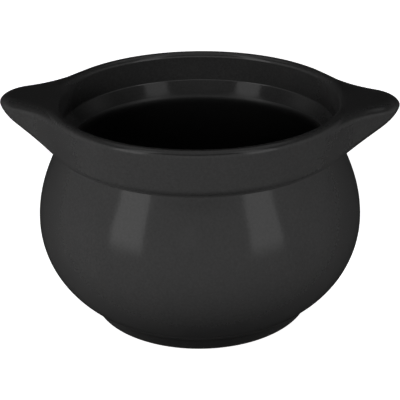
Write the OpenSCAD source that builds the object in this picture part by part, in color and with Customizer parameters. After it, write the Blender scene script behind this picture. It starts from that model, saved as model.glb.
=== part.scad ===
// Onion soup crock: a round-bellied bowl under a heavy collar, with two pointed ear handles.
// The crock stands on its foot ring at z = 0, centred on the Z axis, with its handles along X.

/* [Bowl] */
// Largest radius of the belly
belly_r = 58.9; // [56:0.1:62]
// Height of the belly's widest line above the table
belly_z = 35; // [32:0.5:38]
// Thickness of the wall
wall = 4.8; // [4:0.1:6]
// Height of the inside of the base above the table
floor_z = 9.2; // [8.5:0.1:11]
// How far the neck draws in from the belly's widest line, at the crease under the collar
neck_in = 8.5; // [7:0.1:10]
// Height of the shoulder, from the belly's widest line up to the crease under the collar
shoulder_h = 28.4; // [26:0.1:31]
// How far the shoulder leans in where it meets the crease, measured from upright
neck_angle = 26; // [20:1:30]
// Radius of the rounded throat inside the neck
throat_round_r = 4; // [3:0.5:5]
// How far the narrowest line of the throat lies under the crease
throat_drop = 1.2; // [0.6:0.1:1.8]

/* [Collar] */
// Height of the collar, from the crease up to the crest of the lip
collar_h = 16.9; // [14.5:0.1:19]
// Radius of the hollow at the crease
hollow_r = 1.2; // [0.8:0.1:1.8]
// Radius of the collar's rounded lower edge
edge_r = 1.9; // [1.4:0.1:2.6]
// How far the collar leans out between its lower edge and the lip
flare = 0.2; // [0.1:0.1:1]
// Depth of the rounded crown of the lip
lip_crown = 2.1; // [1.8:0.1:3]
// Step outwards from the throat to the mouth
ledge_w = 3.9; // [3:0.1:4.4]
// Slope of that step, measured from upright
ledge_angle = 34; // [28:1:40]
// Radius of the hollow above the step
ledge_hollow_r = 1.2; // [0.8:0.1:2]

/* [Handles] */
// How far a handle stands out from the collar
handle_out = 17.2; // [15:0.1:20]
// Radius of the handle's tip, seen from above
tip_r = 12.6; // [11:0.1:14]
// How far the round tip turns before it sweeps back, seen from above
tip_turn = 63; // [50:1:75]
// Angle round the crock at which the handle's outline runs into the collar
root_angle = 46; // [36:1:56]
// Thickness of the handle at its tip
tip_t = 3.8; // [3.6:0.1:5]
// Rounding of the handle's upper edge
handle_top_edge_r = 2.6; // [2:0.1:3]
// Rounding of the handle's lower edge
handle_low_edge_r = 1.8; // [1.2:0.1:2.2]
// How far the handle's flank leans in towards its lower edge, measured from upright
handle_draft = 5; // [2:1:8]
// How far the handle's underside sags below a straight slope
handle_sag = 0.25; // [0.1:0.05:1]
// How far the handle's flat top lies under the crest of the lip
handle_drop = 0.5; // [0.3:0.05:1]

/* [Foot] */
// Height of the foot ring
foot_h = 5.3; // [4.4:0.1:6]
// Outer radius of the foot ring at the table
foot_r = 40.6; // [39:0.1:42]
// Width of the foot ring at the table
foot_w = 6.4; // [5:0.1:8]
// How much wider the foot ring is where the belly lands on it
foot_flare = 1.7; // [1:0.1:3]
// Rounding of the foot ring's outer lower edge
foot_edge_r = 0.9; // [0.5:0.1:1.2]
// Rounding of the foot ring's inner lower edge
foot_inner_edge_r = 1.4; // [0.8:0.1:2]
// Height of the hollow under the base
recess_h = 2.6; // [2:0.1:3.4]

/* [Hidden] */
black_glaze = "#2a2a2b";
dark_clay = "#3d3833";
$fn = 160;

// How many steps an arc or a curve of an outline gets, short and long
short_steps = 6;
long_steps = 20;
// How many steps the handle gets along its tip, along each sweep, round an edge and underneath
tip_steps = 14;
sweep_steps = 12;
edge_steps = 5;
under_steps = 5;
// How far a piece or a cutter runs on past the surface that it meets
overrun = 1;
// How far inside the collar's face the handle's outline ends
root_dive = 0.3;

// How far the tangents of a curved stretch reach, as shares of its height
belly_tangent_share = 0.44;
neck_tangent_share = 0.26;
groove_tangent_share = 0.3;
foot_tangent_share = 0.45;

// How far the tangents of the handle's sweep reach, as shares of its length
sweep_tip_share = 0.37;
sweep_root_share = 0.5;

// Bowl: the outside turns at the widest line, and the inside follows it at the wall's distance
neck_r = belly_r - neck_in;
crease_z = belly_z + shoulder_h;
lip_z = crease_z + collar_h;
foot_top_r = foot_r + foot_flare;
foot_in_r = foot_r - foot_w;
lower_r = rise_radius(belly_r - foot_top_r, belly_z - foot_h);
foot_slope = acos((belly_z - foot_h) / lower_r);
inner_r = belly_r - wall;
inner_lower_r = belly_z - floor_z;
throat_c = [neck_r - wall + throat_round_r, crease_z - throat_drop];
split_angle = asin(throat_drop / throat_round_r);

// Collar: a rounded lower edge and an oval lip, joined by a straight leaning face
hollow_c = [neck_r + hollow_r, crease_z];
edge_c = [neck_r + hollow_r, crease_z + hollow_r + edge_r];
collar_r = edge_c.x + edge_r + flare;
mouth_r = neck_r - wall + ledge_w;
lip_half_w = (collar_r - mouth_r) / 2;
lip_c = [(collar_r + mouth_r) / 2, lip_z - lip_crown];
lean = atan2(flare, lip_c.y - edge_c.y);
ledge_curves_w = (ledge_hollow_r + throat_round_r) * (1 - cos(ledge_angle));
ledge_rise = (ledge_w - ledge_curves_w) / tan(ledge_angle)
    + (ledge_hollow_r + throat_round_r) * sin(ledge_angle);
ledge_c = [mouth_r - ledge_hollow_r, throat_c.y + ledge_rise];

// Foot ring: centres of its two rounded lower edges
inner_edge_c = [foot_in_r + foot_inner_edge_r, foot_inner_edge_r];
outer_edge_c = [foot_r - foot_edge_r, foot_edge_r];

// Handle: a tip arc about tip_c and two sweeps that leave the arc and run into the collar smoothly
top_z = lip_z - handle_drop;
root_r = collar_r - root_dive;
handle_reach = collar_r + handle_out;
tip_c = [handle_reach - tip_r, 0];
sweep_start = tip_c + tip_r * [cos(tip_turn), sin(tip_turn)];
sweep_end = root_r * [cos(root_angle), sin(root_angle)];
sweep_chord = norm(sweep_end - sweep_start);
sweep_leave = sweep_tip_share * sweep_chord * inward(tip_turn);
sweep_reach = sweep_root_share * sweep_chord * inward(root_angle);

// Radius of an arc that starts upright and has moved in by dr after rising by dz
function rise_radius(dr, dz) = (dr ^ 2 + dz ^ 2) / dr / 2;

// Points of an arc about a centre, from one angle to another
function arc(centre, r, from, to, steps) =
    [for (i = [0 : steps]) let (a = from + (to - from) * i / steps) centre + r * [cos(a), sin(a)]];

// Point of a curve that leaves its start along one tangent and reaches its end along another
function curve_point(start, leave, reach, end, t) =
    let (u = 1 - t)
    u ^ 3 * start + 3 * u ^ 2 * t * (start + leave) + 3 * u * t ^ 2 * (end - reach) + t ^ 3 * end;

// Points along such a curve
function curve(start, leave, reach, end, steps) =
    [for (i = [0 : steps]) curve_point(start, leave, reach, end, i / steps)];

// A direction in the outline's plane, as an angle from upright that leans towards the axis
function inward(angle) = [-sin(angle), cos(angle)];

// Shoulder of the bowl, from its widest line up to a point of the neck
function shoulder(start, end) =
    curve(
        start,
        belly_tangent_share * (end.y - start.y) * inward(0),
        neck_tangent_share * (end.y - start.y) * inward(neck_angle),
        end,
        long_steps
    );

// The lip is half an oval, from the outer side over the crest to the inner side
function lip(from, to) =
    [for (i = [0 : long_steps / 2]) let (a = from + (to - from) * 2 * i / long_steps)
        lip_c + [lip_half_w * cos(a), lip_crown * sin(a)]];

// Outer side of the bowl, from the foot ring up to its widest line
function lower_belly() =
    arc([belly_r - lower_r, belly_z], lower_r, -asin((belly_z - foot_h) / lower_r), 0, long_steps);

// Outer side of the collar, from the crease up to the crest of the lip
function collar_side() = concat(
    arc(hollow_c, hollow_r, 180, 90, short_steps),
    arc(edge_c, edge_r, -90, -lean, short_steps),
    lip(0, 90)
);

// Inner side of the collar, from the crest of the lip down to the level of the crease
function collar_inside() = concat(
    lip(90, 180),
    arc(ledge_c, ledge_hollow_r, 0, -ledge_angle, short_steps),
    arc(throat_c, throat_round_r, 180 - ledge_angle, 180 - split_angle, short_steps)
);

// Inner side of the bowl, from the base up to the level of the crease
function bowl_inside() = concat(
    [[0, floor_z]],
    arc([inner_r - inner_lower_r, belly_z], inner_lower_r, -90, 0, long_steps),
    shoulder([inner_r, belly_z], throat_c - throat_round_r * [cos(neck_angle), sin(neck_angle)]),
    arc(throat_c, throat_round_r, 180 + neck_angle, 180 - split_angle, short_steps)
);

// One station of the handle's outline, seen from above: its place and the way it faces
function tip_station(a) = [tip_c + tip_r * [cos(a), sin(a)], a];
function sweep_station(t) =
    let (
        u = 1 - t,
        middle = sweep_end - sweep_reach - sweep_start - sweep_leave,
        way = u ^ 2 * sweep_leave + 2 * u * t * middle + t ^ 2 * sweep_reach
    )
    [curve_point(sweep_start, sweep_leave, sweep_reach, sweep_end, t), atan2(-way.x, way.y)];
function flip(station) = [[station[0].x, -station[0].y], -station[1]];
half_outline = concat(
    [for (i = [0 : tip_steps]) tip_station(tip_turn * i / tip_steps)],
    [for (i = [1 : sweep_steps]) sweep_station(i / sweep_steps)]
);
outline = concat(
    [for (i = [len(half_outline) - 1 : -1 : 1]) flip(half_outline[i])],
    half_outline
);

// Height of the handle's underside at a distance from the crock's axis
function under_z(r) =
    let (t = (r - neck_r) / (handle_reach - neck_r))
    crease_z + (top_z - tip_t - crease_z) * t - 4 * handle_sag * t * (1 - t);

// How far in from the outline the leaning flank lies, at a depth under the centre of the top edge
function flank_in(depth) = depth * tan(handle_draft) + handle_top_edge_r * (1 - 1 / cos(handle_draft));

// How far in from the outline the leaning flank meets the underside, found in a few passes
function flank_foot(at, facing, run, passes) =
    passes == 0 ? run
    : let (drop = top_z - handle_top_edge_r - under_z(norm(at - run * facing)))
        flank_foot(at, facing, flank_in(drop), passes - 1);

// A slice of the handle in the plane that the outline faces: top, edge, flank, edge and underside
function slice(station) =
    let (
        at = station[0],
        facing = [cos(station[1]), sin(station[1])],
        foot = flank_foot(at, facing, handle_low_edge_r, 3),
        foot_z = under_z(norm(at - foot * facing)),
        ahead = foot + overrun,
        slope = atan2(foot_z - under_z(norm(at - ahead * facing)), overrun),
        bend = 90 - handle_draft - slope,
        reach = handle_low_edge_r * tan(bend / 2),
        low_start = [foot - reach * sin(handle_draft), foot_z + reach * cos(handle_draft)],
        low_c = low_start + handle_low_edge_r * [cos(handle_draft), sin(handle_draft)],
        section = concat(
            [for (i = [0 : edge_steps]) let (a = 90 - (90 + handle_draft) * i / edge_steps)
                [handle_top_edge_r * (1 - cos(a)), top_z - handle_top_edge_r * (1 - sin(a))]],
            [for (i = [0 : edge_steps]) let (a = handle_draft + bend * i / edge_steps)
                low_c - handle_low_edge_r * [cos(a), sin(a)]]
        ),
        rim = [for (p = section) let (q = at - p.x * facing) [q.x, q.y, p.y]],
        last = rim[len(rim) - 1],
        around = atan2(last.y, last.x),
        start_r = norm([last.x, last.y]),
        end_r = neck_r - overrun
    )
    concat(
        [polar(lip_c.x, around, top_z)],
        rim,
        [for (i = [1 : under_steps]) let (r = start_r + (end_r - start_r) * i / under_steps)
            polar(r, around, under_z(r))]
    );

// A point at a distance from the crock's axis, at an angle round it
function polar(r, a, z) = [r * cos(a), r * sin(a), z];

// A solid skinned over slices that all have the same number of points
module skin(slices) {
    count = len(slices[0]);
    last = len(slices) - 1;
    polyhedron(
        points = [for (s = slices) each s],
        faces = concat(
            [[for (j = [0 : count - 1]) j]],
            [for (i = [0 : last - 1], j = [0 : count - 1]) let (k = (j + 1) % count)
                each [
                    [i * count + j, (i + 1) * count + j, i * count + k],
                    [i * count + k, (i + 1) * count + j, (i + 1) * count + k]
                ]],
            [[for (j = [count - 1 : -1 : 0]) last * count + j]]
        )
    );
}

// Everything inside the outer side of shoulder and collar, which the handles are cut back to
module crock_core() {
    rotate_extrude()
        polygon(concat(
            [[0, belly_z]],
            shoulder([belly_r, belly_z], [neck_r, crease_z]),
            collar_side(),
            [[lip_c.x, lip_z + overrun], [0, lip_z + overrun]]
        ));
}

module bowl_body() {
    color(black_glaze)
        rotate_extrude()
            difference() {
                polygon(concat(
                    [[0, crease_z], [0, recess_h], [foot_in_r, recess_h], [foot_in_r, foot_h]],
                    lower_belly(),
                    shoulder([belly_r, belly_z], [neck_r, crease_z])
                ));
                polygon(concat(bowl_inside(), [[throat_c.x - throat_round_r, lip_z], [0, lip_z]]));
            }
}

module rim_collar() {
    color(black_glaze)
        rotate_extrude()
            polygon(concat(collar_side(), collar_inside()));
}

module handle() {
    difference() {
        skin([for (station = outline) slice(station)]);
        crock_core();
    }
}

module right_handle() {
    color(black_glaze) handle();
}

module left_handle() {
    color(black_glaze) mirror([1, 0, 0]) handle();
}

module foot_ring() {
    color(dark_clay)
        rotate_extrude()
            polygon(concat(
                [[foot_in_r, foot_h]],
                arc(inner_edge_c, foot_inner_edge_r, 180, 270, short_steps),
                arc(outer_edge_c, foot_edge_r, -90, 0, short_steps),
                curve(
                    [foot_r, foot_edge_r],
                    foot_tangent_share * foot_h * [0, 1],
                    groove_tangent_share * foot_h * [cos(foot_slope), sin(foot_slope)],
                    [foot_top_r, foot_h],
                    short_steps
                )
            ));
}

bowl_body();
rim_collar();
left_handle();
right_handle();
foot_ring();
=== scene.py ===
"""An onion soup crock in satin black glaze, on a pale floor in soft studio light.

The crock is one fired piece. Its bowl, collar, two ear handles and foot ring are dressed as
separate pieces whose skins meet edge to edge with shared normals, so the glaze runs on across
them. Sizes are in metres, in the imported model's frame: +X along the handles, +Z up.
"""

import logging
import math
from dataclasses import dataclass
from enum import Enum

import bpy
import bmesh
import numpy as np
from mathutils import Matrix, Vector


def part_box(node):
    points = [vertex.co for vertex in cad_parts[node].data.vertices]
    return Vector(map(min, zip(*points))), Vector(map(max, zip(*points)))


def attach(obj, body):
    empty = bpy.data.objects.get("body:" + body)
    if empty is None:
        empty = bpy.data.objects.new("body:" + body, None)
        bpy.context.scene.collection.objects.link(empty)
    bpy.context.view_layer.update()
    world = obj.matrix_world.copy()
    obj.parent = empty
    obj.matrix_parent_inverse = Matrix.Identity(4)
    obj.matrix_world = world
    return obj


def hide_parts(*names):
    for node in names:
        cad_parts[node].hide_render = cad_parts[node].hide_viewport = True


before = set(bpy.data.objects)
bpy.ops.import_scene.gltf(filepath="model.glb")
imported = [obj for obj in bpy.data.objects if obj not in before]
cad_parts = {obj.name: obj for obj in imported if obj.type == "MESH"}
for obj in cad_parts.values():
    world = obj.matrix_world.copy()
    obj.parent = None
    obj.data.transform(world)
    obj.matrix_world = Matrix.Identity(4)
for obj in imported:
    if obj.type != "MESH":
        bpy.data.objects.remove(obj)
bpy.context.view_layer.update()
log = logging.getLogger("crock")

BODY = "root"
WELD = 1e-7                # points nearer than this are one point
SLOPE_STEP = 100 * WELD    # distance over which a slope is taken
SHARP_ANGLE = 40.0         # degrees between faces that share no normal
NOWHERE = -1.0             # a height below every piece
UPRIGHT = 10.0             # a rise so large that an oval is a cylinder here
WHITE = (1.0, 1.0, 1.0, 1.0)


class Side(Enum):
    """The side of the crock that a handle is on, as its turn about the Z axis in degrees."""

    RIGHT = 0.0
    LEFT = 180.0


# Outlines


@dataclass
class Run:
    """A smooth stretch of outline in the (radius, height) plane, with its outward normals."""

    points: np.ndarray
    normals: np.ndarray

    def reverse(self) -> "Run":
        """The same stretch, walked the other way."""
        return Run(self.points[::-1], self.normals[::-1])


def steps_of(count: int) -> np.ndarray:
    """Shares from 0 to 1 at which a stretch of so many segments gets its points."""
    return np.linspace(0.0, 1.0, count + 1)


def rays_at(angles: np.ndarray) -> np.ndarray:
    """Unit vectors in a plane, at angles in radians from its first axis."""
    return np.column_stack([np.cos(angles), np.sin(angles)])


def arc(centre: tuple[float, float], radius: float, start: float, end: float, count: int,
        hollow: bool = False) -> Run:
    """A circular stretch.

    Args:
        centre: Radius and height of the arc's centre.
        radius: Radius of the arc.
        start: First angle in degrees, counted from the outward direction.
        end: Last angle in degrees.
        count: Number of segments.
        hollow: True if the clay lies outside the arc, so that the normals point to its centre.

    Returns:
        The stretch.
    """
    found = oval(centre, radius, radius, start, end, count)
    return Run(found.points, -found.normals) if hollow else found


def oval(centre: tuple[float, float], half_w: float, half_h: float, start: float, end: float,
         count: int) -> Run:
    """A stretch of an upright oval.

    Args:
        centre: Radius and height of the oval's centre.
        half_w: Half of its width.
        half_h: Half of its height.
        start: First angle in degrees.
        end: Last angle in degrees.
        count: Number of segments.

    Returns:
        The stretch.
    """
    rays = rays_at(np.radians(start + (end - start) * steps_of(count)))
    halves = np.array([half_w, half_h])
    normals = rays / halves
    normals /= np.linalg.norm(normals, axis=1, keepdims=True)
    return Run(np.array(centre) + rays * halves, normals)


def line(start: tuple[float, float], end: tuple[float, float], count: int) -> Run:
    """A straight stretch with the clay on its left.

    Args:
        start: First point.
        end: Last point.
        count: Number of segments.

    Returns:
        The stretch.
    """
    first, last = np.array(start), np.array(end)
    along = (last - first) / np.linalg.norm(last - first)
    shares = steps_of(count)[:, None]
    normals = np.repeat([[along[1], -along[0]]], count + 1, axis=0)
    return Run(first + (last - first) * shares, normals)


def curve(start: tuple[float, float], leave: np.ndarray, reach: np.ndarray,
          end: tuple[float, float], count: int) -> Run:
    """A curved stretch with the clay on its left.

    Args:
        start: First point.
        leave: Tangent with which the curve leaves its start.
        reach: Tangent with which it reaches its end.
        end: Last point.
        count: Number of segments.

    Returns:
        The stretch.
    """
    first, last = np.array(start), np.array(end)
    out, back = first + leave, last - reach
    t = steps_of(count)[:, None]
    u = 1 - t
    points = u**3 * first + 3 * u**2 * t * out + 3 * u * t**2 * back + t**3 * last
    along = u**2 * (out - first) + 2 * u * t * (back - out) + t**2 * (last - back)
    along /= np.linalg.norm(along, axis=1, keepdims=True)
    return Run(points, np.column_stack([along[:, 1], -along[:, 0]]))


def rise_radius(inward: float, rise: float) -> float:
    """Radius of an arc that starts upright and has moved in by inward after rising by rise."""
    return (inward**2 + rise**2) / inward / 2


def leaning(angle: float) -> np.ndarray:
    """Direction that leans towards the axis by an angle in degrees from upright."""
    return np.array([-math.sin(math.radians(angle)), math.cos(math.radians(angle))])


def smooth(share: np.ndarray) -> np.ndarray:
    """A share that is eased at 0 and at 1, and clamped outside them."""
    held = np.clip(share, 0.0, 1.0)
    return held * held * (3 - 2 * held)


# Meshes


@dataclass
class Patch:
    """A grid of points in columns and rows. A patch with no normals is a hidden joint face."""

    points: np.ndarray
    normals: np.ndarray | None = None


def linked(name: str, data: bpy.types.ID) -> bpy.types.Object:
    """Make an object and link it to the scene.

    Args:
        name: Name of the object.
        data: Its mesh, light or camera.

    Returns:
        The object.
    """
    made = bpy.data.objects.new(name, data)
    bpy.context.scene.collection.objects.link(made)
    return made


def weld(points: np.ndarray) -> tuple[np.ndarray, np.ndarray]:
    """Merge points that lie on each other.

    Args:
        points: Array of points, one per row.

    Returns:
        The points that are left, and for each given point its place among them.
    """
    keys = np.round(points / WELD).astype(np.int64)
    _, first, place = np.unique(keys, axis=0, return_index=True, return_inverse=True)
    return points[first], place.ravel()


def solid(name: str, patches: list[Patch]) -> bpy.types.Object:
    """Join patches into one closed mesh that is shaded with their own normals.

    Args:
        name: Name of the new object.
        patches: Patches whose edges meet.

    Returns:
        The new object, linked to the scene.
    """
    counts = [patch.points.shape[0] * patch.points.shape[1] for patch in patches]
    starts = np.concatenate([[0], np.cumsum(counts)])
    verts, place = weld(np.concatenate([patch.points.reshape(-1, 3) for patch in patches]))
    faces: list[list[int]] = []
    owner: list[int] = []
    for index, patch in enumerate(patches):
        columns, rows = patch.points.shape[:2]
        here = place[starts[index]:starts[index + 1]].reshape(columns, rows)
        for i in range(columns - 1):
            for j in range(rows - 1):
                ring = [here[i, j], here[i + 1, j], here[i + 1, j + 1], here[i, j + 1]]
                corners = [v for n, v in enumerate(ring) if v != ring[n - 1]]
                if len(corners) > 2:
                    faces.append([int(v) for v in corners])
                    owner.append(index)
    mesh = bpy.data.meshes.new(name)
    mesh.from_pydata(verts.tolist(), [], faces)
    mesh.attributes.new("patch", "INT", "FACE").data.foreach_set("value", owner)
    face_outwards(mesh)
    shade_with(mesh, patches, starts, place)
    mesh.attributes.remove(mesh.attributes["patch"])
    return linked(name, mesh)


def face_outwards(mesh: bpy.types.Mesh) -> None:
    """Turn every face outwards.

    Args:
        mesh: Closed mesh.
    """
    work = bmesh.new()
    work.from_mesh(mesh)
    bmesh.ops.recalc_face_normals(work, faces=work.faces)
    work.to_mesh(mesh)
    work.free()


def shade_with(mesh: bpy.types.Mesh, patches: list[Patch], starts: np.ndarray,
               place: np.ndarray) -> None:
    """Give each corner of a mesh the normal of the patch that its face belongs to.

    Args:
        mesh: Mesh with a face attribute "patch".
        patches: Patches in the order of that attribute.
        starts: Where each patch's points start among all of them.
        place: For each of those points, its vertex.
    """
    fields = []
    for index, patch in enumerate(patches):
        given = np.zeros((len(mesh.vertices), 3))
        if patch.normals is not None:
            given[place[starts[index]:starts[index + 1]]] = patch.normals.reshape(-1, 3)
        fields.append(given)
    owner = np.zeros(len(mesh.polygons), int)
    mesh.attributes["patch"].data.foreach_get("value", owner)
    sizes = np.zeros(len(mesh.polygons), int)
    mesh.polygons.foreach_get("loop_total", sizes)
    corner = np.zeros(len(mesh.loops), int)
    mesh.loops.foreach_get("vertex_index", corner)
    mesh.shade_smooth()
    mesh.set_sharp_from_angle(angle=math.radians(SHARP_ANGLE))
    mesh.normals_split_custom_set(np.stack(fields)[np.repeat(owner, sizes), corner].tolist())


def grid_normals(points: np.ndarray) -> np.ndarray:
    """Normals of a grid of points, each from its neighbours.

    Args:
        points: Grid of points, in columns that turn anticlockwise and rows that go up.

    Returns:
        Unit normals that point away from the Z axis where the rows go up.
    """
    normals = np.cross(np.gradient(points, axis=0), np.gradient(points, axis=1))
    return normals / np.linalg.norm(normals, axis=2, keepdims=True)


def turned(radii_heights: np.ndarray, angles: np.ndarray) -> np.ndarray:
    """Points of an outline at several turns about the Z axis.

    Args:
        radii_heights: Rows of radius and height, or of a normal's two parts.
        angles: Turns in radians.

    Returns:
        Grid of points, one column per turn.
    """
    radius, height = radii_heights.T
    x, y = np.outer(np.cos(angles), radius), np.outer(np.sin(angles), radius)
    return np.stack([x, y, np.broadcast_to(height, x.shape)], axis=-1)


# Geometry nodes that turn an outline


@dataclass
class Wheel:
    """Geometry nodes that turn an outline about the Z axis into a closed skin."""

    turns: int = 240
    spine_r: float = 0.04
    weld: float = 2e-7

    def tree(self) -> bpy.types.GeometryNodeTree:
        """Build the node tree.

        Returns:
            The tree, with its sizes and its finish as named inputs.
        """
        tree = bpy.data.node_groups.new("turned_skin", "GeometryNodeTree")
        for name, kind in (("Outline", "Geometry"), ("Turns", "Int"), ("Spine Radius", "Float"),
                           ("Weld Distance", "Float"), ("Finish", "Material")):
            tree.interface.new_socket(name, in_out="INPUT", socket_type="NodeSocket" + kind)
        tree.interface.new_socket("Skin", in_out="OUTPUT", socket_type="NodeSocketGeometry")
        plan = Plan(tree)
        given = plan.node("NodeGroupInput")
        radius = given.outputs["Spine Radius"]
        spine = plan.node("GeometryNodeCurvePrimitiveCircle", {"mode": "RADIUS"}, {
            "Resolution": given.outputs["Turns"], "Radius": radius})
        inward = plan.node("ShaderNodeCombineXYZ", {}, {"X": Wire(plan, radius) * -1.0})
        shifted = plan.node("GeometryNodeSetPosition", {}, {
            "Geometry": given.outputs["Outline"], "Offset": inward.outputs["Vector"]})
        outline = plan.node("GeometryNodeMeshToCurve", {}, {"Mesh": shifted.outputs["Geometry"]})
        skin = plan.node("GeometryNodeCurveToMesh", {}, {
            "Curve": spine.outputs["Curve"], "Profile Curve": outline.outputs["Curve"]})
        closed = plan.node("GeometryNodeMergeByDistance", {}, {
            "Geometry": skin.outputs["Mesh"], "Distance": given.outputs["Weld Distance"]})
        smoothed = plan.node("GeometryNodeSetShadeSmooth", {}, {
            "Geometry": closed.outputs["Geometry"]})
        real = plan.node("GeometryNodeRealizeInstances", {}, {
            "Geometry": smoothed.outputs["Geometry"]})
        dressed = plan.node("GeometryNodeSetMaterial", {}, {
            "Geometry": real.outputs["Geometry"], "Material": given.outputs["Finish"]})
        plan.node("NodeGroupOutput", {}, {"Skin": dressed.outputs["Geometry"]})
        return tree

    def turn(self, name: str, runs: list[Run], finish: bpy.types.Material) -> bpy.types.Object:
        """Turn an outline into a piece, shaded with the outline's own normals.

        Args:
            name: Name of the new object.
            runs: Stretches that follow each other with the clay on their left.
            finish: Material of the piece.

        Returns:
            The new object, linked to the scene.
        """
        chain = np.concatenate([runs[0].points[:1]] + [run.points[1:] for run in runs])
        mesh = bpy.data.meshes.new(name + "_outline")
        verts = [(radius, -height, 0.0) for radius, height in chain]
        mesh.from_pydata(verts, [(i, i + 1) for i in range(len(verts) - 1)], [])
        source = linked(name + "_outline", mesh)
        modifier = source.modifiers.new("turned_skin", "NODES")
        modifier.node_group = self.tree()
        values = {"Turns": self.turns, "Spine Radius": self.spine_r,
                  "Weld Distance": self.weld, "Finish": finish}
        for item in modifier.node_group.interface.items_tree:
            if item.name in values:
                modifier[item.identifier] = values[item.name]
        graph = bpy.context.evaluated_depsgraph_get()
        skin = bpy.data.meshes.new_from_object(source.evaluated_get(graph), depsgraph=graph)
        source.modifiers.remove(modifier)
        bpy.data.objects.remove(source)
        skin.name = name
        face_outwards(skin)
        self.shade(skin, runs)
        return linked(name, skin)

    @staticmethod
    def shade(mesh: bpy.types.Mesh, runs: list[Run]) -> None:
        """Give each corner of a turned mesh the normal of the stretch that its face lies on.

        Args:
            mesh: Turned mesh.
            runs: Stretches of its outline.
        """
        firsts = np.concatenate([run.points[:-1] for run in runs])
        lasts = np.concatenate([run.points[1:] for run in runs])
        first_normals = np.concatenate([run.normals[:-1] for run in runs])
        last_normals = np.concatenate([run.normals[1:] for run in runs])
        verts = np.zeros(len(mesh.vertices) * 3)
        mesh.vertices.foreach_get("co", verts)
        verts = verts.reshape(-1, 3)
        flat = np.column_stack([np.hypot(verts[:, 0], verts[:, 1]), verts[:, 2]])
        mids = (firsts + lasts) / 2
        normals = []
        for face in mesh.polygons:
            ids = list(face.vertices)
            middle = flat[ids].mean(axis=0)
            segment = int(np.argmin(((mids - middle)**2).sum(axis=1)))
            for vertex in ids:
                to_first = np.hypot(*(flat[vertex] - firsts[segment]))
                to_last = np.hypot(*(flat[vertex] - lasts[segment]))
                pair = first_normals[segment] if to_first < to_last else last_normals[segment]
                turn = math.atan2(verts[vertex, 1], verts[vertex, 0])
                normals.append((pair[0] * math.cos(turn), pair[0] * math.sin(turn), pair[1]))
        mesh.shade_smooth()
        mesh.normals_split_custom_set(normals)


# Node trees


class Plan:
    """Adds nodes to a tree."""

    MIX_FIRST, MIX_SECOND, MIX_RESULT = 6, 7, 2    # a Mix node's colour sockets, by place

    def __init__(self, tree: bpy.types.NodeTree) -> None:
        """Keep the tree that the nodes go into."""
        self.tree = tree

    @classmethod
    def of(cls, owner: bpy.types.Material | bpy.types.World) -> "Plan":
        """Plan a material's or a world's tree afresh.

        Args:
            owner: The material or world, whose nodes are cleared.

        Returns:
            The plan.
        """
        owner.use_nodes = True
        owner.node_tree.nodes.clear()
        return cls(owner.node_tree)

    def node(self, kind: str, settings: dict | None = None,
             inputs: dict | None = None) -> bpy.types.Node:
        """Add one node.

        Args:
            kind: The node's type.
            settings: Its properties, set before its sockets.
            inputs: Value, socket or wire for each input, by name or by place.

        Returns:
            The node.
        """
        made = self.tree.nodes.new(kind)
        for name, value in (settings or {}).items():
            setattr(made, name, value)
        for name, value in (inputs or {}).items():
            value = value.socket if isinstance(value, Wire) else value
            if isinstance(value, bpy.types.NodeSocket):
                self.tree.links.new(value, made.inputs[name])
            else:
                made.inputs[name].default_value = value
        return made

    def mix(self, share: "Wire", first: "bpy.types.NodeSocket | tuple[float, ...]",
            second: tuple[float, float, float]) -> bpy.types.NodeSocket:
        """Mix two colours.

        Args:
            share: Share of the second colour.
            first: The first colour, or a socket that gives it.
            second: The second colour.

        Returns:
            The mixed colour's socket.
        """
        first = (*first, 1.0) if isinstance(first, tuple) else first
        return self.node("ShaderNodeMix", {"data_type": "RGBA"}, {
            "Factor": share, self.MIX_FIRST: first, self.MIX_SECOND: (*second, 1.0),
        }).outputs[self.MIX_RESULT]

    def value(self, kind: str, output: str, settings: dict | None = None,
              inputs: dict | None = None) -> "Wire":
        """Add one node and take one of its outputs as a value.

        Args:
            kind: The node's type.
            output: Name of the output.
            settings: The node's properties.
            inputs: Its inputs.

        Returns:
            The output as a wire.
        """
        return Wire(self, self.node(kind, settings, inputs).outputs[output])


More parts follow.
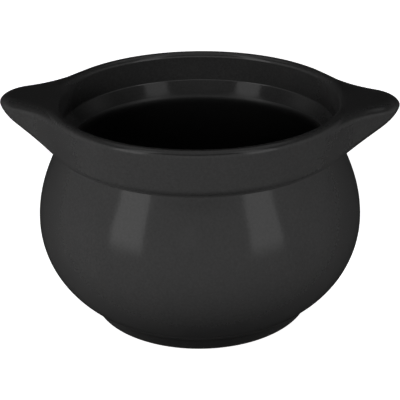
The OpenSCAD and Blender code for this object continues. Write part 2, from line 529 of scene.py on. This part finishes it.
class Wire:
    """A value in a node tree. Python's operators on it add Math nodes."""

    def __init__(self, plan: Plan, socket: bpy.types.NodeSocket) -> None:
        """Keep the socket and the plan that its tree belongs to."""
        self.plan = plan
        self.socket = socket

    def math(self, operation: str, *others: "Wire | float", clamp: bool = False) -> "Wire":
        """Add a Math node with this value first.

        Args:
            operation: The node's operation.
            others: Its other values.
            clamp: True to hold the result between 0 and 1.

        Returns:
            The result.
        """
        return self.plan.value("ShaderNodeMath", "Value", {
            "operation": operation, "use_clamp": clamp}, dict(enumerate([self, *others])))

    def reflected(self, operation: str, first: float) -> "Wire":
        """Add a Math node with a number first and this value second."""
        return self.plan.value("ShaderNodeMath", "Value", {"operation": operation}, {
            0: first, 1: self})

    def __add__(self, other: "Wire | float") -> "Wire":
        """This value plus another."""
        return self.math("ADD", other)

    def __radd__(self, other: float) -> "Wire":
        """A number plus this value."""
        return self.math("ADD", other)

    def __sub__(self, other: "Wire | float") -> "Wire":
        """This value less another."""
        return self.math("SUBTRACT", other)

    def __rsub__(self, other: float) -> "Wire":
        """A number less this value."""
        return self.reflected("SUBTRACT", other)

    def __mul__(self, other: "Wire | float") -> "Wire":
        """This value times another."""
        return self.math("MULTIPLY", other)

    def __rmul__(self, other: float) -> "Wire":
        """A number times this value."""
        return self.math("MULTIPLY", other)

    def __truediv__(self, other: "Wire | float") -> "Wire":
        """This value over another."""
        return self.math("DIVIDE", other)

    def __rtruediv__(self, other: float) -> "Wire":
        """A number over this value."""
        return self.reflected("DIVIDE", other)

    def held(self) -> "Wire":
        """This value, held between 0 and 1."""
        return self.math("ADD", 0.0, clamp=True)

    def eased(self, low: float, high: float) -> "Wire":
        """A share that eases from 0 where this value is low to 1 where it is high."""
        return self.plan.value("ShaderNodeMapRange", "Result", {
            "interpolation_type": "SMOOTHSTEP"}, {
            "Value": self, "From Min": low, "From Max": high})


# Finishes


@dataclass(frozen=True)
class Glaze:
    """Satin black glaze with a faint speckle and pebble, painted shade in the hollow, bare at the
    foot.

    The painted shade, a darker colour, lies inside an oval midway through the bowl's wall, below
    a top height.
    """

    name: str
    colour: tuple[float, float, float] = (0.030, 0.030, 0.0305)
    mottle: tuple[float, float, float] = (0.036, 0.0355, 0.035)
    # painted shade: the darker colour that the inside below the throat is given
    hollow: tuple[float, float, float] = (0.008, 0.008, 0.008)
    clay: tuple[float, float, float] = (0.050, 0.043, 0.037)
    roughness: float = 0.11
    clay_roughness: float = 0.85
    gloss_range: float = 0.06
    pebble: float = 0.0008
    pebble_depth: float = 0.000013
    pebble_detail: float = 1.5
    pebble_roughness: float = 0.4
    speckle: float = 0.3
    mottle_size: float = 0.012
    mottle_detail: float = 3.0
    bare_below: float = NOWHERE
    bare_edge: float = 0.0006
    shine: float = 0.5
    ior: float = 1.5
    middle_r: float = 0.0565
    middle_z: float = 0.035
    painted_shade_rise: float = 0.0513
    painted_shade_fall: float = 0.0291
    painted_shade_top: float = 0.0662
    painted_shade_fade: float = 0.0038
    painted_shade_edge: float = 0.04
    hollow_roughness: float = 0.45

    def painted_shade_share(self, x: "Wire", y: "Wire", z: "Wire") -> "Wire":
        """A share that is 1 where shade is painted in the hollow below the throat and 0 outside
        it.

        Args:
            x: First part of the place.
            y: Second part of the place.
            z: Height of the place.

        Returns:
            The share.
        """
        up = ((z - self.middle_z) / self.painted_shade_rise).held()
        down = ((self.middle_z - z) / self.painted_shade_fall).held()
        reach = (x * x + y * y) / self.middle_r**2 + up * up + down * down
        inner = 1.0 - reach.eased(1.0 - self.painted_shade_edge, 1.0 + self.painted_shade_edge)
        return inner * (1.0 - z.eased(self.painted_shade_top - self.painted_shade_fade, self.painted_shade_top))

    def material(self) -> bpy.types.Material:
        """Make the material.

        Returns:
            The material, with one Principled shader whose colour, roughness and normal vary.
        """
        made = bpy.data.materials.new(self.name)
        plan = Plan.of(made)
        place = plan.node("ShaderNodeTexCoord").outputs["Object"]
        mottling = plan.value("ShaderNodeTexNoise", "Fac", {}, {
            "Vector": place, "Scale": 1 / self.mottle_size, "Detail": self.mottle_detail})
        pebbling = plan.value("ShaderNodeTexNoise", "Fac", {}, {
            "Vector": place, "Scale": 1 / self.pebble, "Detail": self.pebble_detail,
            "Roughness": self.pebble_roughness})
        parts = plan.node("ShaderNodeSeparateXYZ", {}, {"Vector": place})
        x, y, height = (Wire(plan, parts.outputs[axis]) for axis in "XYZ")
        ragged = height + (mottling - 0.5) * self.bare_edge
        bare = ((self.bare_below - ragged) / self.bare_edge + 0.5).held()
        # Painted shade: inner is the share where the hollow colour darkens the inside below the
        # throat; it also raises the roughness there.
        inner = self.painted_shade_share(x, y, height)
        glaze = plan.mix(inner, plan.mix(mottling, self.colour, self.mottle), self.hollow)
        grain = 1.0 + (pebbling - 0.5) * (2 * self.speckle)
        tone = plan.node("ShaderNodeVectorMath", {"operation": "SCALE"}, {
            0: plan.mix(bare, glaze, self.clay), "Scale": grain})
        gloss = self.roughness + (mottling - 0.5) * self.gloss_range
        gloss = gloss + inner * (self.hollow_roughness - self.roughness)
        roughness = gloss + bare * (self.clay_roughness - self.roughness)
        bump = plan.node("ShaderNodeBump", {}, {
            "Strength": 1.0, "Distance": self.pebble_depth, "Height": pebbling})
        shader = plan.node("ShaderNodeBsdfPrincipled", {}, {
            "Base Color": tone.outputs["Vector"], "Roughness": roughness, "IOR": self.ior,
            "Specular IOR Level": self.shine, "Normal": bump.outputs["Normal"]})
        plan.node("ShaderNodeOutputMaterial", {}, {"Surface": shader.outputs["BSDF"]})
        return made


# The crock's pieces


@dataclass
class CollarForm:
    """Outlines of the collar: its outer side, oval lip, inner side and seat on the bowl."""

    neck_r: float = 0.0504
    wall: float = 0.0048
    throat_round_r: float = 0.004
    throat_drop: float = 0.0012
    hollow_r: float = 0.0012
    edge_r: float = 0.0019
    edge_h: float = 0.0029
    flare: float = 0.0002
    lip_crown: float = 0.0021
    ledge_w: float = 0.0039
    ledge_angle: float = 34.0
    ledge_hollow_r: float = 0.0012
    fine: int = 16

    def __post_init__(self) -> None:
        """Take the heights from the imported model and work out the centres."""
        low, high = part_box("rim_collar")
        self.crease_z, self.lip_z = low.z, high.z
        self.throat_c = (self.neck_r - self.wall + self.throat_round_r,
                         self.crease_z - self.throat_drop)
        self.split_angle = math.degrees(math.asin(self.throat_drop / self.throat_round_r))
        self.hollow_c = (self.neck_r + self.hollow_r, self.crease_z)
        self.edge_c = (self.hollow_c[0], self.crease_z + self.hollow_r + self.edge_h)
        self.collar_r = self.edge_c[0] + self.edge_r + self.flare
        self.mouth_r = self.neck_r - self.wall + self.ledge_w
        self.half_w = (self.collar_r - self.mouth_r) / 2
        self.lip_c = ((self.collar_r + self.mouth_r) / 2, self.lip_z - self.lip_crown)
        self.lean = math.degrees(math.atan2(self.flare, self.lip_c[1] - self.edge_c[1]))
        slope = math.radians(self.ledge_angle)
        bends = self.ledge_hollow_r + self.throat_round_r
        rise = (self.ledge_w - bends * (1 - math.cos(slope))) / math.tan(slope)
        rise += bends * math.sin(slope)
        self.ledge_c = (self.mouth_r - self.ledge_hollow_r, self.throat_c[1] + rise)

    def outer(self) -> list[Run]:
        """Outline of the outer side.

        Returns:
            Stretches from the crease up to the crest of the lip.
        """
        hollow = arc(self.hollow_c, self.hollow_r, 180, 90, self.fine, hollow=True)
        edge = oval(self.edge_c, self.edge_r, self.edge_h, -90, -self.lean, 2 * self.fine)
        lip = oval(self.lip_c, self.half_w, self.lip_crown, 0, 90, 2 * self.fine)
        face = line(tuple(edge.points[-1]), tuple(lip.points[0]), self.fine)
        return [hollow, edge, face, lip]

    def inner(self) -> list[Run]:
        """Outline of the inner side.

        Returns:
            Stretches from the crest of the lip down to the crease's level.
        """
        lip = oval(self.lip_c, self.half_w, self.lip_crown, 90, 180, 2 * self.fine)
        hollow = arc(self.ledge_c, self.ledge_hollow_r, 0, -self.ledge_angle, self.fine,
                     hollow=True)
        throat = arc(self.throat_c, self.throat_round_r, 180 - self.ledge_angle,
                     180 - self.split_angle, self.fine)
        wall = line(tuple(lip.points[-1]), tuple(hollow.points[0]), self.fine)
        ledge = line(tuple(hollow.points[-1]), tuple(throat.points[0]), self.fine // 2)
        return [lip, wall, hollow, ledge, throat]


@dataclass
class EarForm:
    """A handle: a flat top with a broad soft edge, a round tip that sweeps into the collar."""

    collar: CollarForm
    tip_r: float = 0.0126
    tip_turn: float = 63.0
    root_angle: float = 46.0
    root_dive: float = 0.0003
    tip_share: float = 0.37
    root_share: float = 0.5
    tip_t: float = 0.0038
    top_edge_w: float = 0.0047
    top_edge_h: float = 0.0028
    low_edge_r: float = 0.0018
    draft: float = 5.0
    sag: float = 0.00025
    drop: float = 0.0001
    dive: float = 0.06
    run_out: float = 16.0
    near_share: float = 0.5
    far_share: float = 1.1
    fine: int = 120

    def __post_init__(self) -> None:
        """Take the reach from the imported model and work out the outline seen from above."""
        self.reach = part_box("right_handle")[1].x
        self.top_z = self.collar.lip_z - self.drop
        root_r = self.collar.collar_r - self.root_dive
        tip = arc((self.reach - self.tip_r, 0.0), self.tip_r, 0, self.tip_turn, self.fine)
        root = math.radians(self.root_angle)
        end = root_r * np.array([math.cos(root), math.sin(root)])
        chord = float(np.hypot(*(end - tip.points[-1])))
        sweep = curve(tuple(tip.points[-1]), self.tip_share * chord * leaning(self.tip_turn),
                      self.root_share * chord * leaning(self.root_angle), tuple(end), self.fine)
        past = math.radians(self.run_out) * steps_of(self.fine)
        rays = rays_at(root + past)
        hidden = Run((root_r - self.dive * past**2)[:, None] * rays, rays)
        self.chain = np.concatenate([run.points for run in (tip, sweep, hidden)])
        self.facing = np.concatenate([run.normals for run in (tip, sweep, hidden)])
        self.marks = np.linspace(self.collar.neck_r * self.near_share,
                                 self.reach * self.far_share, 2 * self.fine)

    def under(self, radius: np.ndarray) -> np.ndarray:
        """Height of the underside, which rises outwards and sags a little midway.

        Args:
            radius: Distances from the Z axis.

        Returns:
            Heights.
        """
        share = (radius - self.collar.neck_r) / (self.reach - self.collar.neck_r)
        rise = (self.top_z - self.tip_t - self.collar.crease_z) * share
        return self.collar.crease_z + rise - 4 * self.sag * share * (1 - share)

    def outside(self, turn: float) -> np.ndarray:
        """How far places lie outside the handle's outline, seen from above.

        Args:
            turn: Turn of the places about the Z axis, in radians from the handle's middle.

        Returns:
            Distances at the radii in marks, negative inside the outline.
        """
        places = np.outer(self.marks, (math.cos(turn), math.sin(turn)))
        away = places[:, None] - self.chain[None]
        nearest = np.argmin((away**2).sum(axis=2), axis=1)
        return (away[np.arange(len(places)), nearest] * self.facing[nearest]).sum(axis=1)

    def depth(self, outside: np.ndarray, radius: np.ndarray, height: np.ndarray) -> np.ndarray:
        """Signed distance to the handle's surface in one plane, negative inside the clay.

        Args:
            outside: Distances from the outline at the radii in marks.
            radius: Places' distances from the Z axis.
            height: Their heights.

        Returns:
            Distances.
        """
        draft = math.radians(self.draft)
        edge_z = self.top_z - self.top_edge_h
        ahead = np.interp(radius, self.marks, outside) + self.top_edge_w
        flank = math.cos(draft) * ahead + math.sin(draft) * (edge_z - height) - self.top_edge_w
        under = self.under(radius)
        slope = (self.under(radius + SLOPE_STEP) - under) / SLOPE_STEP
        below = (under - height) / np.sqrt(1 + slope**2)
        squeeze = self.top_edge_h / self.top_edge_w
        top = rounded(height - self.top_z, flank * squeeze, self.top_edge_h)
        return np.maximum(top, rounded(below, flank, self.low_edge_r))


def rounded(a: np.ndarray, b: np.ndarray, radius: float) -> np.ndarray:
    """Distance to the edge between two surfaces, rounded to a radius.

    Args:
        a: Distances to one surface.
        b: Distances to the other.
        radius: Radius of the rounding.

    Returns:
        Distances to both, negative inside.
    """
    over = np.hypot(np.maximum(a + radius, 0.0), np.maximum(b + radius, 0.0))
    return np.minimum(np.maximum(a, b), -radius) + over


@dataclass
class OuterSkin:
    """The skin from the crease up to the lip's crest, where handles flow into the collar."""

    collar: CollarForm
    ear: EarForm
    fillet: float = 0.0012
    rows: int = 110
    rays: int = 440
    centre_drop: float = 0.0081
    top_fade: float = 16.0
    low_fade: float = 12.0
    margin: float = 7.0
    halvings: int = 34

    def __post_init__(self) -> None:
        """Work out the point that the rays leave from and how wide a handle's skin is."""
        self.centre = np.array([self.collar.lip_c[0], self.collar.lip_z - self.centre_drop])
        self.half_span = math.radians(self.ear.root_angle + self.margin)

    def collar_reach(self, directions: np.ndarray) -> np.ndarray:
        """Distance from the centre to the plain collar.

        Args:
            directions: Directions in a plane through the Z axis.

        Returns:
            Distances, in the order of the directions.
        """
        chain = np.concatenate([run.points for run in self.collar.outer()]) - self.centre
        angle = np.arctan2(chain[:, 1], chain[:, 0])
        angle = np.where(angle > math.pi / 2 + WELD, angle - 2 * math.pi, angle)
        order = np.argsort(angle)
        return np.interp(directions, angle[order], np.hypot(*chain[order].T))

    def ear_reach(self, turn: float, directions: np.ndarray) -> np.ndarray:
        """Distance from the centre to the handle's surface.

        Args:
            turn: Turn of the plane about the Z axis, in radians from the handle's middle.
            directions: Directions in that plane.

        Returns:
            Distances, in the order of the directions.
        """
        outside = self.ear.outside(turn)
        low = np.zeros_like(directions)
        high = np.full_like(directions, self.ear.reach / 2)
        for _ in range(self.halvings):
            middle = (low + high) / 2
            radius = self.centre[0] + middle * np.cos(directions)
            height = self.centre[1] + middle * np.sin(directions)
            depth = self.ear.depth(outside, radius, height)
            low = np.where(depth < 0, middle, low)
            high = np.where(depth < 0, high, middle)
        return low

    def section(self, turn: float) -> np.ndarray:
        """Outline of the skin in one plane through the Z axis.

        Args:
            turn: Turn of the plane about the Z axis, in radians from the nearest handle.

        Returns:
            Rows of radius and height, evenly spaced from the crease up to the crest.
        """
        crease = np.array([self.collar.neck_r, self.collar.crease_z]) - self.centre
        first = math.atan2(crease[1], crease[0])
        directions = np.linspace(first, math.pi / 2, self.rays)
        reach = self.collar_reach(directions)
        if turn < self.half_span:
            ear = self.ear_reach(turn, directions)
            from_top = np.degrees(math.pi / 2 - directions)
            from_low = np.degrees(directions - first)
            soft = self.fillet * smooth(from_top / self.top_fade)
            soft = np.maximum(soft * smooth(from_low / self.low_fade), WELD)
            share = np.clip(0.5 + 0.5 * (reach - ear) / soft, 0.0, 1.0)
            reach = ear * (1 - share) + reach * share + soft * share * (1 - share)
        chain = self.centre + reach[:, None] * rays_at(directions)
        chain[0] = self.centre + crease
        chain[-1] = (self.collar.lip_c[0], self.collar.lip_z)
        lengths = np.concatenate([[0], np.cumsum(np.hypot(*np.diff(chain, axis=0).T))])
        marks = np.linspace(0, lengths[-1], self.rows)
        return np.column_stack([np.interp(marks, lengths, chain[:, k]) for k in (0, 1)])

    def column(self, turn: float) -> np.ndarray:
        """Points of the skin at a turn about the Z axis, from the crease up to the crest."""
        folded = abs(math.remainder(turn, math.pi))
        return turned(self.section(folded), np.array([turn]))[0]

    def grid(self, turns: np.ndarray) -> Patch:
        """The skin over a range of turns.

        Args:
            turns: Turns about the Z axis in radians, from the right handle.

        Returns:
            Patch of the skin with its normals.
        """
        step = turns[1] - turns[0]
        wide = [turns[0] - step, *turns, turns[-1] + step]
        points = np.array([self.column(turn) for turn in wide])
        normals = grid_normals(points)[1:-1]
        normals[:, -1] = (0.0, 0.0, 1.0)
        return Patch(points[1:-1], normals)

    def seat(self, turns: np.ndarray) -> Patch:
        """The hidden face between a handle and the collar, from the crease to the crest.

        Args:
            turns: Turns about the Z axis in radians.

        Returns:
            Patch with no normals.
        """
        ends = line((self.collar.neck_r, self.collar.crease_z),
                    (self.collar.lip_c[0], self.collar.lip_z), self.rows - 1)
        return Patch(turned(ends.points, turns))

    def end(self, turn: float) -> Patch:
        """The hidden face across the skin at the end of a handle."""
        seat = self.seat(np.array([turn])).points[0]
        return Patch(np.stack([self.column(turn), seat]))


@dataclass
class RimCollar:
    """The heavy band round the mouth, between the handles' seats."""

    skin: OuterSkin
    glaze: Glaze
    step: float = 1.0

    def build(self) -> bpy.types.Object:
        """Make the collar's mesh.

        Returns:
            The collar.
        """
        form = self.skin.collar
        half = self.skin.half_span
        inner = form.inner()
        base = line(tuple(inner[-1].points[-1]), (form.neck_r, form.crease_z), 1)
        free_count = round(math.degrees(math.pi - 2 * half) / self.step)
        seat_count = round(math.degrees(2 * half) / self.step)
        patches = []
        for side in Side:
            start = math.radians(side.value)
            free = np.linspace(start + half, start + math.pi - half, free_count)
            seat = np.linspace(start - half, start + half, seat_count)
            patches += [self.skin.grid(free), self.skin.seat(seat)]
            patches += [self.skin.end(start - half), self.skin.end(start + half)]
            whole = np.concatenate([seat, free[1:]])
            patches += [Patch(turned(run.points, whole), turned(run.normals, whole))
                        for run in inner]
            patches.append(Patch(turned(base.points, whole)))
        made = solid("rim_collar_glazed", patches)
        made.data.materials.append(self.glaze.material())
        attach(made, BODY)
        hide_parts("rim_collar")
        return made


@dataclass
class EarHandle:
    """One pointed ear handle, with the skin that flows from it into the lip and the collar."""

    skin: OuterSkin
    side: Side
    glaze: bpy.types.Material
    step: float = 0.5

    def build(self) -> bpy.types.Object:
        """Make the handle's mesh.

        Returns:
            The handle.
        """
        half = self.skin.half_span
        start = math.radians(self.side.value)
        count = round(math.degrees(2 * half) / self.step)
        turns = np.linspace(start - half, start + half, count)
        patches = [self.skin.grid(turns), self.skin.seat(turns),
                   self.skin.end(start - half), self.skin.end(start + half)]
        node = f"{self.side.name.lower()}_handle"
        made = solid(node + "_glazed", patches)
        made.data.materials.append(self.glaze)
        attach(made, BODY)
        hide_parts(node)
        return made


@dataclass
class BowlBody:
    """The round-bellied bowl with its base."""

    collar: CollarForm
    glaze: Glaze
    wheel: Wheel
    belly_z: float = 0.035
    floor_z: float = 0.0092
    neck_angle: float = 26.0
    foot_in_r: float = 0.0342
    foot_top_r: float = 0.0423
    belly_tangent: float = 0.44
    neck_tangent: float = 0.26
    long: int = 48
    short: int = 16
    seat_steps: int = 2
    foot_steps: int = 4

    def __post_init__(self) -> None:
        """Take the belly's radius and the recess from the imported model."""
        low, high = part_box("bowl_body")
        self.belly_r = max(high.x, high.y)
        self.recess_h = low.z
        self.foot_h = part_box("foot_ring")[1].z
        self.lower_r = rise_radius(self.belly_r - self.foot_top_r, self.belly_z - self.foot_h)

    def shoulder(self, start: tuple[float, float], end: tuple[float, float]) -> Run:
        """The curve from the widest line up to the neck.

        Args:
            start: Point of the widest line.
            end: Point of the neck.

        Returns:
            The stretch.
        """
        rise = end[1] - start[1]
        return curve(start, self.belly_tangent * rise * leaning(0.0),
                     self.neck_tangent * rise * leaning(self.neck_angle), end, self.long)

    def outline(self) -> list[Run]:
        """Outline of the bowl.

        Returns:
            Stretches from the axis under the base, round the outside and back to the floor.
        """
        form = self.collar
        landing = math.degrees(math.asin((self.belly_z - self.foot_h) / self.lower_r))
        inner_r = self.belly_r - form.wall
        inner_lower_r = self.belly_z - self.floor_z
        angle = math.radians(self.neck_angle)
        throat_low = (form.throat_c[0] - form.throat_round_r * math.cos(angle),
                      form.throat_c[1] - form.throat_round_r * math.sin(angle))
        belly = arc((self.belly_r - self.lower_r, self.belly_z), self.lower_r, -landing, 0,
                    self.long)
        shoulder = self.shoulder((self.belly_r, self.belly_z), (form.neck_r, form.crease_z))
        throat = arc(form.throat_c, form.throat_round_r, 180 - form.split_angle,
                     180 + self.neck_angle, self.short)
        inside = self.shoulder((inner_r, self.belly_z), throat_low).reverse()
        inside.normals = -inside.normals
        lower = arc((inner_r - inner_lower_r, self.belly_z), inner_lower_r, 0, -90, self.long,
                    hollow=True)
        return [
            line((0.0, self.recess_h), (self.foot_in_r, self.recess_h), self.short),
            line((self.foot_in_r, self.recess_h), (self.foot_in_r, self.foot_h),
                 self.seat_steps),
            line((self.foot_in_r, self.foot_h), tuple(belly.points[0]), self.foot_steps),
            belly,
            shoulder,
            line((form.neck_r, form.crease_z), tuple(throat.points[0]), self.seat_steps),
            throat,
            inside,
            lower,
            line(tuple(lower.points[-1]), (0.0, self.floor_z), self.short),
        ]

    def build(self) -> bpy.types.Object:
        """Make the bowl.

        Returns:
            The bowl.
        """
        made = self.wheel.turn("bowl_body_glazed", self.outline(), self.glaze.material())
        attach(made, BODY)
        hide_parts("bowl_body")
        return made


@dataclass
class FootRing:
    """The low ring that the crock stands on, bare where it meets the table."""

    bowl: BowlBody
    glaze: Glaze
    wheel: Wheel
    foot_r: float = 0.0406
    edge_r: float = 0.0009
    inner_edge_r: float = 0.0014
    groove_tangent: float = 0.3
    foot_tangent: float = 0.45
    fine: int = 12

    def outline(self) -> list[Run]:
        """Outline of the ring's section.

        Returns:
            Stretches round it, from its inner top corner.
        """
        inner_r, height = self.bowl.foot_in_r, self.bowl.foot_h
        slope = math.acos((self.bowl.belly_z - height) / self.bowl.lower_r)
        inner = arc((inner_r + self.inner_edge_r, self.inner_edge_r), self.inner_edge_r, 180, 270,
                    self.fine)
        outer = arc((self.foot_r - self.edge_r, self.edge_r), self.edge_r, -90, 0, self.fine)
        side = curve((self.foot_r, self.edge_r), self.foot_tangent * height * leaning(0.0),
                     self.groove_tangent * height * np.array([math.cos(slope), math.sin(slope)]),
                     (self.bowl.foot_top_r, height), 2 * self.fine)
        return [
            line((inner_r, height), tuple(inner.points[0]), self.fine),
            inner,
            line(tuple(inner.points[-1]), tuple(outer.points[0]), self.fine),
            outer,
            side,
            line((self.bowl.foot_top_r, height), (inner_r, height), self.bowl.foot_steps),
        ]

    def build(self) -> bpy.types.Object:
        """Make the foot ring.

        Returns:
            The ring.
        """
        made = self.wheel.turn("foot_ring_glazed", self.outline(), self.glaze.material())
        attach(made, BODY)
        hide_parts("foot_ring")
        return made


# The studio


def heading(azimuth: float, elevation: float) -> tuple[float, float, float]:
    """Direction towards a place of the studio.

    Args:
        azimuth: Degrees round the Z axis from the front, to the right.
        elevation: Degrees above the table.

    Returns:
        The direction as a unit vector.
    """
    a, e = math.radians(azimuth), math.radians(elevation)
    return (math.sin(a) * math.cos(e), -math.cos(a) * math.cos(e), math.sin(e))


@dataclass(frozen=True)
class Panel:
    """A wide distant light. It reaches the matte part of a finish and isn't mirrored."""

    azimuth: float
    elevation: float
    half_angle: float
    strength: float

    def build(self) -> bpy.types.Object:
        """Make the light.

        Returns:
            The light, linked to the scene.
        """
        data = bpy.data.lights.new("panel", "SUN")
        data.energy = self.strength * math.pi
        data.angle = math.radians(2 * self.half_angle)
        made = linked("panel", data)
        away = Vector(heading(self.azimuth, self.elevation))
        made.rotation_euler = away.to_track_quat("Z", "Y").to_euler()
        made.visible_glossy = False
        return made


@dataclass(frozen=True)
class Room:
    """The dim room that the glaze mirrors: brightest in front, dark behind and overhead."""

    azimuth: float = 0.0
    elevation: float = 30.0
    gone: float = 134.0
    strength: float = 0.56
    low_z: float = 0.42
    high_z: float = 0.58
    overhead_share: float = 0.15

    def glow(self, plan: Plan, direction: bpy.types.NodeSocket, z: Wire) -> Wire:
        """Radiance of the room in a direction.

        Args:
            plan: Plan of the world's tree.
            direction: Direction that is looked in.
            z: Its upward part.

        Returns:
            The radiance.
        """
        near = plan.value("ShaderNodeVectorMath", "Value", {"operation": "DOT_PRODUCT"}, {
            0: direction, 1: heading(self.azimuth, self.elevation)})
        overhead = z.eased(self.low_z, self.high_z) * (1.0 - self.overhead_share)
        front = near.eased(math.cos(math.radians(self.gone)), 1.0)
        return front * (1.0 - overhead) * self.strength


@dataclass(frozen=True)
class Softbox:
    """A softbox: a soft-edged window of light, from low to high and half_width to each side."""

    azimuth: float
    half_width: float
    strength: float
    low: float = -10.0
    high: float = 58.0
    side_edge: float = 2.5
    low_edge: float = 16.0
    high_edge: float = 6.0

    def glow(self, turn: Wire, rise: Wire) -> Wire:
        """Radiance of the softbox in a direction.

        Args:
            turn: Azimuth of the direction, in degrees.
            rise: Elevation of the direction, in degrees.

        Returns:
            The radiance.
        """
        off = (turn - self.azimuth).math("ABSOLUTE")
        across = 1.0 - off.eased(self.half_width - self.side_edge, self.half_width)
        foot = rise.eased(self.low, self.low + self.low_edge)
        head = 1.0 - rise.eased(self.high, self.high + self.high_edge)
        return across * foot * head * self.strength


@dataclass
class Studio:
    """A pale floor, soft light and the camera at the photograph's angle."""

    turn: float = 1.5
    elevation: float = 24.925
    roll: float = 0.1216
    distance: float = 0.40656
    focal_px: float = 1099.37
    picture_px: float = 400.0
    sensor: float = 36.0
    middle_px: float = 234.04
    target: tuple[float, float] = (0.012388, 0.039235)
    floor_size: float = 6.0
    backdrop: float = 1.0
    floor_glow: float = 0.95
    floor_shade: float = 0.8
    map_px: int = 1024
    panels: tuple[Panel, ...] = (
        Panel(azimuth=-101.0, elevation=-12.0, half_angle=25.0, strength=1.40),
        Panel(azimuth=109.0, elevation=-13.0, half_angle=25.0, strength=0.98),
        Panel(azimuth=-5.0, elevation=13.0, half_angle=9.0, strength=0.44),
        Panel(azimuth=180.0, elevation=5.0, half_angle=50.0, strength=0.62),
    )
    room: Room = Room()
    softboxes: tuple[Softbox, ...] = (
        Softbox(azimuth=-48.3, half_width=13.2, strength=0.74),
        Softbox(azimuth=48.8, half_width=12.8, strength=0.56),
        Softbox(azimuth=0.0, half_width=200.0, strength=0.32, low=48.0, high=100.0,
                side_edge=3.0, low_edge=12.0),
    )

    def camera(self) -> bpy.types.Object:
        """Make the camera.

        Returns:
            The camera, set as the scene's own.
        """
        data = bpy.data.cameras.new("camera")
        data.sensor_width = self.sensor
        data.lens = self.focal_px * self.sensor / self.picture_px
        data.shift_x = 0.5 - self.middle_px / self.picture_px
        made = linked("camera", data)
        rise = math.radians(self.elevation)
        back = Vector((0.0, -math.cos(rise), math.sin(rise)))
        target = Vector((self.target[0], 0.0, self.target[1]))
        place = Matrix.Translation(target + back * self.distance)
        tilt = back.to_track_quat("Z", "Y").to_matrix().to_4x4()
        roll = Matrix.Rotation(math.radians(self.roll), 4, "Z")
        made.matrix_world = Matrix.Rotation(math.radians(self.turn), 4, "Z") @ place @ tilt @ roll
        bpy.context.scene.camera = made
        return made

    def floor(self) -> bpy.types.Object:
        """Make the floor, which the crock doesn't mirror.

        Returns:
            The floor, a pale sheet.
        """
        mesh = bpy.data.meshes.new("floor")
        half = self.floor_size / 2
        corners = [(-half, -half, 0.0), (half, -half, 0.0), (half, half, 0.0), (-half, half, 0.0)]
        mesh.from_pydata(corners, [], [(0, 1, 2, 3)])
        made = linked("floor", mesh)
        material = bpy.data.materials.new("pale_floor")
        plan = Plan.of(material)
        shader = plan.node("ShaderNodeBsdfPrincipled", {}, {
            "Base Color": (*[self.floor_shade] * 3, 1.0), "Roughness": 1.0,
            "Specular IOR Level": 0.0, "Emission Color": WHITE,
            "Emission Strength": self.floor_glow})
        plan.node("ShaderNodeOutputMaterial", {}, {"Surface": shader.outputs["BSDF"]})
        mesh.materials.append(material)
        made.visible_glossy = False
        made.visible_diffuse = False
        made.visible_shadow = False
        return made

    def world(self) -> None:
        """Make the surroundings that the glaze mirrors. The panels light the rest."""
        world = bpy.data.worlds.new("studio")
        bpy.context.scene.world = world
        plan = Plan.of(world)
        way = plan.node("ShaderNodeTexCoord").outputs["Generated"]
        parts = plan.node("ShaderNodeSeparateXYZ", {}, {"Vector": way})
        x, y, z = (Wire(plan, parts.outputs[axis]) for axis in "XYZ")
        degrees = 180.0 / math.pi
        turn = x.math("ARCTAN2", y * -1.0) * degrees
        rise = z.math("ARCSINE") * degrees
        mirrored = self.room.glow(plan, way, z)
        for box in self.softboxes:
            mirrored = mirrored + box.glow(turn, rise)
        seen = Wire(plan, plan.node("ShaderNodeLightPath").outputs["Is Camera Ray"])
        strength = mirrored * (1.0 - seen) + seen * self.backdrop
        light = plan.node("ShaderNodeBackground", {}, {
            "Color": WHITE, "Strength": strength})
        plan.node("ShaderNodeOutputWorld", {}, {"Surface": light.outputs["Background"]})
        world.cycles.sampling_method = "MANUAL"
        world.cycles.sample_map_resolution = self.map_px
        world.cycles_visibility.diffuse = False

    def build(self) -> None:
        """Set up the studio."""
        self.camera()
        self.floor()
        for panel in self.panels:
            panel.build()
        self.world()
        bpy.context.scene.view_settings.view_transform = "Standard"


def corners(box: tuple[Vector, Vector]) -> list[list[float]]:
    """A box's two corners as plain lists."""
    return [list(corner) for corner in box]


def main() -> None:
    """Build the crock's pieces in order, then the studio round them."""
    logging.basicConfig(level=logging.INFO, format="%(name)s: %(message)s")
    wheel = Wheel()
    collar = CollarForm()
    skin = OuterSkin(collar, EarForm(collar))
    handle_glaze = Glaze("handle_glaze").material()
    # The bowl glaze paints shade inside the bowl below the throat.
    bowl = BowlBody(collar, Glaze("bowl_glaze"), wheel)
    builders = [
        bowl,
        # The foot glaze's darker colour is painted shade, low under the belly near the floor; the
        # bare clay at the very bottom is its own colour.
        FootRing(bowl, Glaze("foot_glaze", roughness=0.4, shine=0.08, bare_below=0.0005,
                             colour=(0.011, 0.011, 0.011), mottle=(0.014, 0.0138, 0.0136)),
                 wheel),
        # The collar glaze paints shade on the inner ledge and throat, inside a cylinder of radius
        # middle_r.
        RimCollar(skin, Glaze("collar_glaze", middle_r=0.0499, painted_shade_rise=UPRIGHT)),
        EarHandle(skin, Side.RIGHT, handle_glaze),
        EarHandle(skin, Side.LEFT, handle_glaze),
    ]
    for builder in builders:
        made = builder.build()
        log.info("%s: %d faces", made.name, len(made.data.polygons))
    Studio().build()


if __name__ == "__main__":
    main()
